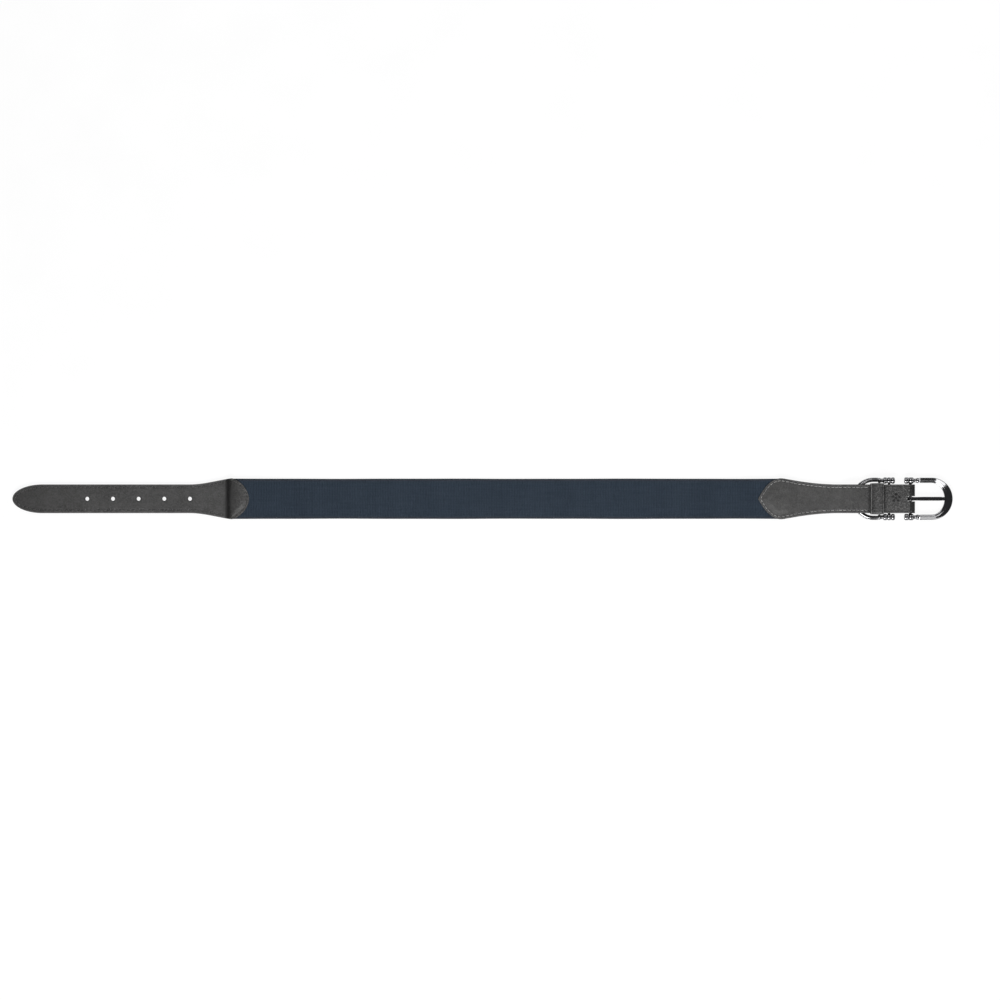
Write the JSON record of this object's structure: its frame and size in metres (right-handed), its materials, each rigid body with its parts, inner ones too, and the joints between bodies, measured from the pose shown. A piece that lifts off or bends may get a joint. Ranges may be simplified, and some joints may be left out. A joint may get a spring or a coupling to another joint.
{
  "type": "stretch riding belt",
  "caption": "Flat strap with an elastic ribbed middle, a punched leather billet at one end and a D-shaped metal buckle, keeper and trim ring at the other.",
  "frame": {"origin": "under the middle of the belt, on the surface it rests on", "axes": "+X along the belt from the billet's tip to the buckle, +Y across it, +Z out of its face"},
  "size_m": [0.93, 0.0426, 0.0125],
  "materials": {
    "leather": "satin",
    "elastic": "ribbed matte",
    "thread_dark": "waxed thread",
    "thread_light": "waxed thread",
    "metal": "polished gunmetal"
  },
  "bodies": {
    "chape": {"elastic_band": "elastic", "chape_leather": "leather", "keeper_loop": "leather", "trim_ring": "metal", "trim_ring_bar": "metal", "chape_point_stitching": "thread_light", "chape_edge_stitching": "thread_light", "keeper_stitching": "thread_dark"},
    "billet": {"billet_front": "leather", "billet_lining": "leather", "billet_stitching": "thread_dark", "billet_cap_stitching": "thread_dark"},
    "buckle": {"buckle_frame": "metal", "buckle_bar": "metal"},
    "tongue": {"buckle_tongue": "metal"}
  },
  "joints": [
    {"name": "elastic_stretch", "type": "slide", "parent": "chape", "child": "billet", "axis": [-1, 0, 0], "range_m": [0, 0.12], "stiffness_N_per_m": 250, "deforming": ["elastic_band"]},
    {"name": "buckle_swing", "type": "hinge", "parent": "chape", "child": "buckle", "pos_m": [0.423, 0, 0.00355], "axis": [0, -1, 0], "range_deg": [0, 25]},
    {"name": "tongue_swing", "type": "hinge", "parent": "buckle", "child": "tongue", "pos_m": [0.423, 0, 0.00355], "axis": [0, -1, 0], "range_deg": [0, 90]}
  ]
}
